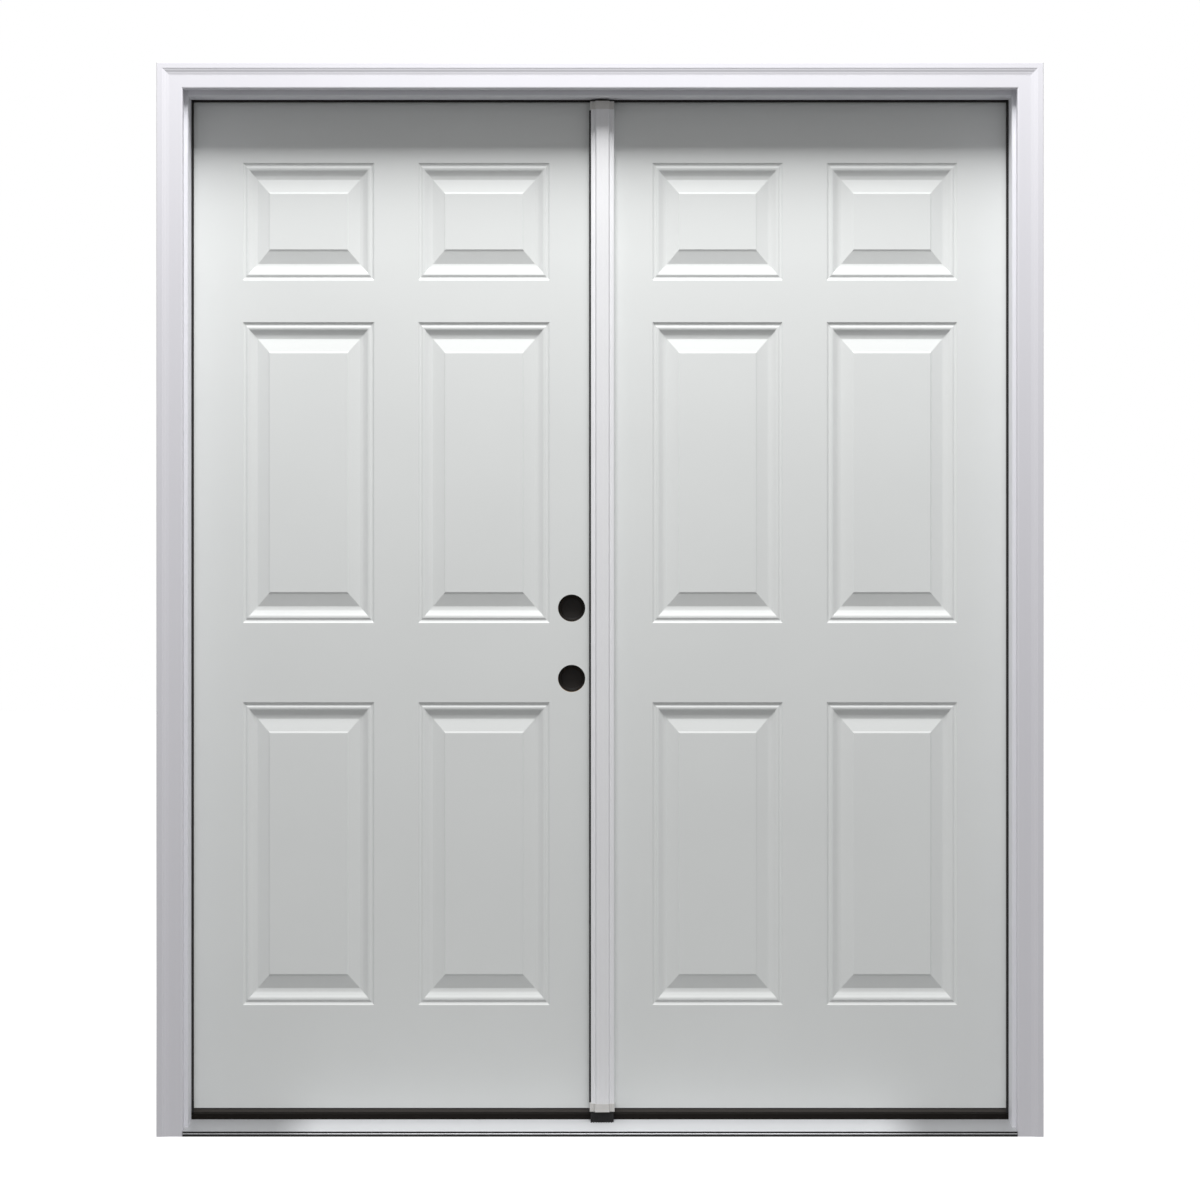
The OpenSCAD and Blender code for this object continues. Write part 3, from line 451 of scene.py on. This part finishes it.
def pressed_skin(leaf, face):
    """One skin with pressed panels and folded edges, drawn from the hinge edge, the face and the bottom."""
    node = f"{leaf}_{face}_skin"
    low, high = (Vector(corner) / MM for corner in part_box(node))
    w = high.x - low.x
    h = high.z - low.z
    hinge_x, across = (low.x, 1) if leaf == "active" else (high.x, -1)
    face_y, inwards = (low.y, 1) if face == "exterior" else (high.y, -1)
    panel_w = (w - HINGE_STILE - MULLION - LOCK_STILE[leaf]) / 2
    columns = [HINGE_STILE, HINGE_STILE + panel_w + MULLION]
    panels = [(u, u + panel_w, z0, z1) for u in columns for z0, z1 in PANEL_ROWS]
    bores = [(w - BORE_BACKSET, z) for z in BORE_H] if leaf == "active" else []
    notches = hinge_heights(h) if face == "interior" else []

    bm = bmesh.new()

    def vert(u, depth, z):
        return bm.verts.new(Vector((hinge_x + across * u, face_y + inwards * depth, low.z + z)) * MM)

    # Upright stretches of the fold at each edge; the hinge plates interrupt it indoors
    reach = HINGE_H / 2 + HINGE_NOTCH_GAP
    breaks = [0] + [z + side * reach for z in notches for side in (-1, 1)] + [h]
    outer = [(FOLD_R, z) for z in breaks[::-1]] + [(w - FOLD_R, 0), (w - FOLD_R, h)]
    holes = [rectangle(*panel) for panel in panels] + [circle(bore, BORE_R, BORE_SIDES) for bore in bores]
    points, triangles = plate(outer, holes)
    flat = [vert(p.x, 0, p.y) for p in points]
    for triangle in triangles:
        bm.faces.new([flat[k] for k in triangle])

    def strip(columns_of_verts):
        for a, b in zip(columns_of_verts, columns_of_verts[1:]):
            for k in range(len(a) - 1):
                bm.faces.new((a[k], a[k + 1], b[k + 1], b[k]))

    arc = [math.pi / 2 * k / FOLD_STEPS for k in range(FOLD_STEPS + 1)]
    fold = [(FOLD_R * (1 - math.sin(a)), FOLD_R * (1 - math.cos(a))) for a in arc] + [(0, FOLD_W)]
    for z0, z1 in zip(breaks[::2], breaks[1::2]):
        strip([[vert(u, d, z0), vert(u, d, z1)] for u, d in fold])
    strip([[vert(w - u, d, 0), vert(w - u, d, h)] for u, d in fold])

    # Mitres, and the edges of the bevel round the field
    creases = []
    for u0, u1, z0, z1 in panels:
        rings = []
        for share, depth in smooth_moulding():
            a = share * MOULD_SIDE_W
            b = share * MOULD_RAIL_W
            ring = rectangle(u0 + a, u1 - a, z0 + b, z1 - b)
            rings.append([vert(u, depth * EMBOSS_D, z) for u, z in ring])
        for (share, _), a, b in zip(smooth_moulding(), rings, rings[1:]):
            for k in range(4):
                bm.faces.new((a[k], a[(k + 1) % 4], b[(k + 1) % 4], b[k]))
                creases.append(bm.edges.get((a[k], b[k])))
                if share >= BEVEL_FROM:
                    creases.append(bm.edges.get((a[k], a[(k + 1) % 4])))
        bm.faces.new(rings[-1])
    for edge in creases:
        edge.smooth = False
    bmesh.ops.remove_doubles(bm, verts=bm.verts, dist=SKIN_WELD * MM)
    bmesh.ops.recalc_face_normals(bm, faces=bm.faces)
    widest = max(bm.faces, key=lambda f: f.calc_area())
    if widest.normal.y * inwards > 0:
        bmesh.ops.reverse_faces(bm, faces=bm.faces)
    skin = shown_mesh(f"{leaf}_{face}_pressed_skin", bm)
    sheet = skin.modifiers.new("sheet", "SOLIDIFY")
    sheet.thickness = SKIN_T * MM
    sheet.offset = -1
    baked(skin)
    bm = bmesh.new()
    bm.from_mesh(skin.data)
    sharpen(bm)
    bm.to_mesh(skin.data)
    bm.free()
    dress(skin, f"{leaf}_leaf", "painted_skin", finishes["painted_skin"], node)


for leaf in ("active", "passive"):
    for face in ("exterior", "interior"):
        pressed_skin(leaf, face)


# Brick mould with eased edges, mitred at the top corners

def casing_outline():
    """Section of the brick mould: distance from its outer edge, and how far it stands out from the wall."""
    thick = -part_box("left_brickmould")[0][1] / MM
    fall = [(BACK_BAND + run, thick - drop, STEP_EASE) for run, drop in CASING_FALL]
    face = fall[-1][1]
    return eased(
        [(0, 0, 0), (0, thick, OUTER_EASE), (BACK_BAND, thick, BAND_EASE)] + fall
        + [(CASING_W, face, INNER_EASE), (CASING_W, 0, 0)]
    )


outer_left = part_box("left_brickmould")[0][0] / MM
casing_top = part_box("head_brickmould")[1][2] / MM + HEAD_LIFT
for name, side in (("left", -1), ("right", 1)):
    casing = extruded(
        f"{name}_eased_brickmould", casing_outline(),
        lambda p: (side * (-outer_left - p[0]), -p[1], 0),
        lambda p: (side * (-outer_left - p[0]), -p[1], casing_top - p[0]),
    )
    dress(casing, "frame", "painted_casing", finishes["painted_casing"], f"{name}_brickmould")
casing = extruded(
    "head_eased_brickmould", casing_outline(),
    lambda p: (outer_left + p[0], -p[1], casing_top - p[0]),
    lambda p: (-outer_left - p[0], -p[1], casing_top - p[0]),
)
dress(casing, "frame", "painted_casing", finishes["painted_casing"], "head_brickmould")


# Astragal lip with eased edges, flutes and a rib along each ledge

lip_low, lip_high = (Vector(corner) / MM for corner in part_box("astragal_lip"))
lip_low.x += LIP_TRIM
ledge_y = lip_low.y + LEDGE_D
flat_x0 = lip_low.x + SHOULDER_W
flat_x1 = lip_high.x - SHOULDER_W
flute_step = (flat_x1 - flat_x0) / (FLUTES + 1)
flutes = []
for k in range(1, FLUTES + 1):
    x = flat_x0 + k * flute_step
    flutes += [
        (x - FLUTE_W / 2, lip_low.y, 0), (x, lip_low.y + FLUTE_D, 0), (x + FLUTE_W / 2, lip_low.y, 0)]


def ledge_rib(x):
    crown_y = ledge_y - RIB_H
    return [
        (x - RIB_FOOT / 2, ledge_y, 0), (x - RIB_CROWN / 2, crown_y, 0),
        (x + RIB_CROWN / 2, crown_y, 0), (x + RIB_FOOT / 2, ledge_y, 0)]


lip_outline = eased(
    [(lip_low.x, lip_high.y, 0), (lip_low.x, ledge_y, LIP_EASE)] + ledge_rib(lip_low.x + RIB_IN)
    + [(lip_low.x + LEDGE_W, ledge_y, LEDGE_EASE), (flat_x0, lip_low.y, SHOULDER_EASE)] + flutes
    + [(flat_x1, lip_low.y, SHOULDER_EASE), (lip_high.x - LEDGE_W, ledge_y, LEDGE_EASE)]
    + ledge_rib(lip_high.x - RIB_IN)
    + [(lip_high.x, ledge_y, LIP_EASE), (lip_high.x, lip_high.y, 0)]
)
lip = extruded(
    "eased_astragal_lip", lip_outline,
    lambda p: (p[0], p[1], lip_low.z), lambda p: (p[0], p[1], lip_high.z),
)
dress(lip, "passive_leaf", "painted_aluminium", finishes["painted_aluminium"], "astragal_lip")


# Sill deck with a shadow groove above its rounded nose

deck_low, deck_high = (Vector(corner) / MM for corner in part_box("sill_deck"))
nose_y = deck_low.y
deck_at_jamb = DECK_FRONT + (deck_high.z - DECK_FRONT) * -nose_y / (deck_high.y - nose_y)
stop_x = -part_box("sill_deck")[0][0] / MM - CASING_REVEAL
wall_y = nose_y + NOSE_WALL
foot_y = nose_y + FOOT_BACK
groove_y = nose_y + GROOVE_BACK
nose_round = [(nose_y + back, NOSE_GROOVE[0] - drop) for back, drop in NOSE_ROUND]
# Top from front to back, underside back to the front, foot, nose and groove
deck_outline = [
    (nose_y + DECK_EDGE, DECK_FRONT), (-JAMB_STEP, deck_at_jamb), (0, deck_at_jamb),
    (deck_high.y, deck_high.z), (deck_high.y, deck_high.z - DECK_T_BACK), (0, deck_at_jamb - DECK_T_JAMB),
    (-JAMB_STEP, deck_at_jamb - DECK_T_JAMB), (wall_y, DECK_FRONT - DECK_T_FRONT),
    (wall_y, 0), (foot_y, 0), (foot_y, NOSE_FOOT), (nose_y + NOSE_LEAN, NOSE_FOOT),
    *nose_round,
    (groove_y, NOSE_GROOVE[0]), (groove_y, NOSE_GROOVE[1]), (nose_y + GROOVE_LIP, NOSE_GROOVE[1]),
]


def deck_end(p):
    """Half the deck's length at that depth: between the casings in front, between the stops behind them."""
    return deck_high.x if p[0] < 0 else stop_x


deck = extruded(
    "grooved_sill_deck", deck_outline,
    lambda p: (-deck_end(p), p[0], p[1]), lambda p: (deck_end(p), p[0], p[1]),
)
dress(deck, "frame", "mill_aluminium", finishes["mill_aluminium"], "sill_deck")

# Painted shade: dark strips fill the groove and the foot under the nose, where shade falls
for name, low_z, high_z in (("groove_sealant", *NOSE_GROOVE), ("foot_sealant", 0, NOSE_FOOT)):
    shade_strip = extruded(
        name,
        rectangle(nose_y + SHADE_STRIP_FRONT, nose_y + SHADE_STRIP_BACK, low_z + SHADE_STRIP_GAP, high_z - SHADE_STRIP_GAP),
        lambda p: (-deck_high.x, p[0], p[1]), lambda p: (deck_high.x, p[0], p[1]),
    )
    dress(shade_strip, "frame", "dark_seal", finishes["dark_seal"])


# Screws with a cross recess, set in rows

def screw_mesh(name, head_r, shank_r, head_h, length):
    """Countersunk screw along -Z whose head is flush at 0."""
    bm = bmesh.new()
    arm = head_r * CROSS_ARM
    slot = head_r * CROSS_SLOT
    cross = [
        (arm, -slot), (arm, slot), (slot, slot), (slot, arm), (-slot, arm), (-slot, slot),
        (-arm, slot), (-arm, -slot), (-slot, -slot), (-slot, -arm), (slot, -arm), (slot, -slot),
    ]
    rim = circle((0, 0), head_r, SCREW_SIDES)
    points, triangles = plate(rim, [cross])

    def vert(x, y, z):
        return bm.verts.new(Vector((x, y, z)) * MM)

    top = [vert(p.x, p.y, 0) for p in points]
    for triangle in triangles:
        bm.faces.new([top[k] for k in triangle])
    wall_top = [vert(x, y, 0) for x, y in cross]
    wall_foot = [vert(x * CROSS_FOOT[0], y * CROSS_FOOT[1], -head_h * CROSS_DEPTH) for x, y in cross]
    bm.faces.new(wall_foot)
    rings = [circle((0, 0), r, SCREW_SIDES) for r in (head_r, shank_r, shank_r, SCREW_TIP_R)]
    levels = [0, -head_h, -length + shank_r, -length]
    turned = [[vert(x, y, z) for x, y in ring] for ring, z in zip(rings, levels)]
    bm.faces.new(turned[-1])
    for a, b in list(zip(turned, turned[1:])) + [(wall_top, wall_foot)]:
        for k in range(len(a)):
            bm.faces.new((a[k], a[(k + 1) % len(a)], b[(k + 1) % len(a)], b[k]))
    bmesh.ops.remove_doubles(bm, verts=bm.verts, dist=SCREW_WELD * MM)
    bmesh.ops.recalc_face_normals(bm, faces=bm.faces)
    return shown_mesh(name, bm)


def screw_rows_tree():
    """Sets one screw on each point, turned one way and spun at random about itself."""
    tree = bpy.data.node_groups.new("screw_rows", "GeometryNodeTree")
    sockets = {
        "Places": "Geometry", "Screw": "Object", "Turn": "Vector", "Seed": "Int", "Finish": "Material"}
    for name, kind in sockets.items():
        tree.interface.new_socket(name, in_out="INPUT", socket_type=f"NodeSocket{kind}")
    tree.interface.new_socket("Screws", in_out="OUTPUT", socket_type="NodeSocketGeometry")
    given = add(tree, "NodeGroupInput").outputs
    points = add(tree, "GeometryNodeMeshToPoints", inputs={"Mesh": given["Places"]})
    screw = add(tree, "GeometryNodeObjectInfo", inputs={"Object": given["Screw"]})
    spin = add(tree, "FunctionNodeRandomValue", {"data_type": "FLOAT"}, {"Seed": given["Seed"]})
    angle = add(tree, "ShaderNodeMath", {"operation": "MULTIPLY"}, {0: spin.outputs[1], 1: math.pi})
    own = add(tree, "ShaderNodeCombineXYZ", inputs={"Z": angle.outputs[0]})
    own_turn = add(tree, "FunctionNodeEulerToRotation", inputs={"Euler": own.outputs[0]})
    row_turn = add(tree, "FunctionNodeEulerToRotation", inputs={"Euler": given["Turn"]})
    both = add(tree, "FunctionNodeRotateRotation", {"rotation_space": "LOCAL"},
               {"Rotation": row_turn.outputs[0], "Rotate By": own_turn.outputs[0]})
    placed = add(tree, "GeometryNodeInstanceOnPoints", inputs={
        "Points": points.outputs[0], "Instance": screw.outputs["Geometry"], "Rotation": both.outputs[0]})
    real = add(tree, "GeometryNodeRealizeInstances", inputs={"Geometry": placed.outputs[0]})
    dressed = add(tree, "GeometryNodeSetMaterial", inputs={
        "Geometry": real.outputs[0], "Material": given["Finish"]})
    add(tree, "NodeGroupOutput", inputs={"Screws": dressed.outputs[0]})
    return tree


screw_rows = screw_rows_tree()


def set_screws(name, screw, places, turn, seed, finish):
    """Rows of one screw as a plain mesh."""
    mesh = bpy.data.meshes.new(name)
    mesh.from_pydata([Vector(p) * MM for p in places], [], [])
    rows = bpy.data.objects.new(name, mesh)
    bpy.context.scene.collection.objects.link(rows)
    rule = rows.modifiers.new("rows", "NODES")
    rule.node_group = screw_rows
    values = {"Screw": screw, "Turn": turn, "Seed": seed, "Finish": finish}
    for item in screw_rows.interface.items_tree:
        if item.in_out == "INPUT" and item.name in values:
            rule[item.identifier] = values[item.name]
    return baked(rows)


(leaf_x0, leaf_y, leaf_z), (active_edge, _, leaf_top) = (
    Vector(corner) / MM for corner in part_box("active_exterior_skin"))
indoor_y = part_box("active_interior_skin")[1][1] / MM
plate_z = [leaf_z + z for z in hinge_heights(leaf_top - leaf_z)]
jamb_face = -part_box("head_jamb")[0][0] / MM


def hinge_screw_places(x):
    return [
        (x, indoor_y - HINGE_W * (1 - HINGE_SCREW_IN[k % 2]), z + HINGE_SCREW_ROWS[k] * HINGE_H)
        for z in plate_z for k in range(4)
    ]


quarter = math.pi / 2
hinge_screw = screw_mesh("hinge_screw", *HINGE_SCREW)
strike_screw = screw_mesh("strike_screw", *STRIKE_SCREW)
tube_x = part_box("strike_plates")[0][0] / MM
strike_y = (leaf_y + indoor_y) / 2
strike_places = [
    (tube_x, strike_y, leaf_z + z + side * STRIKE_SCREW_OFF) for z in BORE_H for side in (-1, 1)
]
# Each row: the node it stands for, its body, the screw, its places and which way the heads face
screw_sets = [
    ("active_frame_hinge_screws", "frame", hinge_screw, hinge_screw_places(-jamb_face), 1),
    ("passive_frame_hinge_screws", "frame", hinge_screw, hinge_screw_places(jamb_face), -1),
    ("active_leaf_hinge_screws", "active_leaf", hinge_screw, hinge_screw_places(leaf_x0), -1),
    ("passive_leaf_hinge_screws", "passive_leaf", hinge_screw, hinge_screw_places(-leaf_x0), 1),
    ("strike_screws", "passive_leaf", strike_screw, strike_places, -1),
]
for seed, (node, body, screw, places, facing) in enumerate(screw_sets):
    turn = (0, facing * quarter, 0)
    rows = set_screws(f"cross_{node}", screw, places, turn, seed, finishes["zinc_steel"])
    dress(rows, body, "zinc_steel", finishes["zinc_steel"], node)
for screw in (hinge_screw, strike_screw):
    bpy.data.objects.remove(screw)


# Dark plugs set back in the lock bores, as painted shade seen through them

def bore_shade_plug(name, z):
    """Shallow cup with a rim that closes one bore, finished dark as painted shade."""
    centre = (active_edge - BORE_BACKSET, leaf_z + z)
    bm = bmesh.new()
    rings = []
    for radius, depth in PLUG_SECTION:
        y = leaf_y + PLUG_BACK + depth
        if radius == 0:
            rings.append([bm.verts.new(Vector((centre[0], y, centre[1])) * MM)])
        else:
            loop = circle(centre, radius, PLUG_SIDES)
            rings.append([bm.verts.new(Vector((x, y, height)) * MM) for x, height in loop])
    for a, b in zip(rings, rings[1:]):
        for k in range(PLUG_SIDES):
            j = (k + 1) % PLUG_SIDES
            corners = [a[k % len(a)], a[j % len(a)], b[j % len(b)], b[k % len(b)]]
            bm.faces.new(list(dict.fromkeys(corners)))
    bmesh.ops.recalc_face_normals(bm, faces=bm.faces)
    return shown_mesh(name, bm)


for name, z in zip(("lock_bore_plug", "deadbolt_bore_plug"), BORE_H):
    dress(bore_shade_plug(name, z), "active_leaf", None, bore_shade_finish)


# Studio: paper floor, one large lamp high in front, soft white surroundings

CAMERA = (0.0, -7.9285, 1.0516)
LENS = 120.96
SENSOR = 36
KEY_AT = (0.0, -1.792, 5.566)
KEY_AIM = (0.0, 0.07, 5.204)
KEY_SIZE = (1.25, 2.81)
KEY_POWER = 404.0
FILL = 0.385
FLOOR_SIZE = 60.0
FLOOR_TONE = 0.34
FLOOR_GLOW = 0.9
WHITE = (1, 1, 1, 1)

scene = bpy.context.scene
scene.view_settings.view_transform = "Standard"

bpy.ops.mesh.primitive_plane_add(size=FLOOR_SIZE, location=(0, 0, 0))
floor = bpy.context.object
floor.name = "studio_floor"
# Matt paper: grey in the light it throws back, and raised to white where the camera sees it
paper = bpy.data.materials.new("white_studio_paper")
paper.use_nodes = True
tree = paper.node_tree
shader = tree.nodes["Principled BSDF"]
shader.inputs["Base Color"].default_value = (FLOOR_TONE, FLOOR_TONE, FLOOR_TONE, 1)
shader.inputs["Roughness"].default_value = 0.9
shader.inputs["Specular IOR Level"].default_value = 0.0
seen = add(tree, "ShaderNodeLightPath").outputs["Is Camera Ray"]
glow = add(tree, "ShaderNodeEmission", inputs={"Strength": FLOOR_GLOW})
both = add(tree, "ShaderNodeAddShader", inputs={0: shader.outputs[0], 1: glow.outputs[0]})
choice = add(tree, "ShaderNodeMixShader", inputs={"Fac": seen, 1: shader.outputs[0], 2: both.outputs[0]})
tree.links.new(choice.outputs[0], tree.nodes["Material Output"].inputs["Surface"])
floor.data.materials.append(paper)

world = bpy.data.worlds.new("white_studio")
scene.world = world
world.use_nodes = True
tree = world.node_tree
path = add(tree, "ShaderNodeLightPath").outputs
direct = path["Is Camera Ray"]
for ray in ("Is Glossy Ray", "Is Transmission Ray"):
    direct = add(tree, "ShaderNodeMath", {"operation": "MAXIMUM"}, {0: direct, 1: path[ray]}).outputs[0]
fill = tree.nodes["Background"]
fill.inputs["Color"].default_value = WHITE
fill.inputs["Strength"].default_value = FILL
white = add(tree, "ShaderNodeBackground", inputs={"Color": WHITE, "Strength": 1.0})
choice = add(tree, "ShaderNodeMixShader", inputs={"Fac": direct, 1: fill.outputs[0], 2: white.outputs[0]})
tree.links.new(choice.outputs[0], tree.nodes["World Output"].inputs["Surface"])

key = bpy.data.lights.new("key", "AREA")
key.shape = "RECTANGLE"
key.size, key.size_y = KEY_SIZE
key.energy = KEY_POWER
lamp = bpy.data.objects.new("key", key)
lamp.location = KEY_AT
lamp.rotation_euler = (Vector(KEY_AIM) - Vector(KEY_AT)).to_track_quat("-Z", "Y").to_euler()
scene.collection.objects.link(lamp)

lens = bpy.data.cameras.new("camera")
lens.lens = LENS
lens.sensor_width = SENSOR
camera = bpy.data.objects.new("camera", lens)
camera.location = CAMERA
camera.rotation_euler = (quarter, 0, 0)
scene.collection.objects.link(camera)
scene.camera = camera
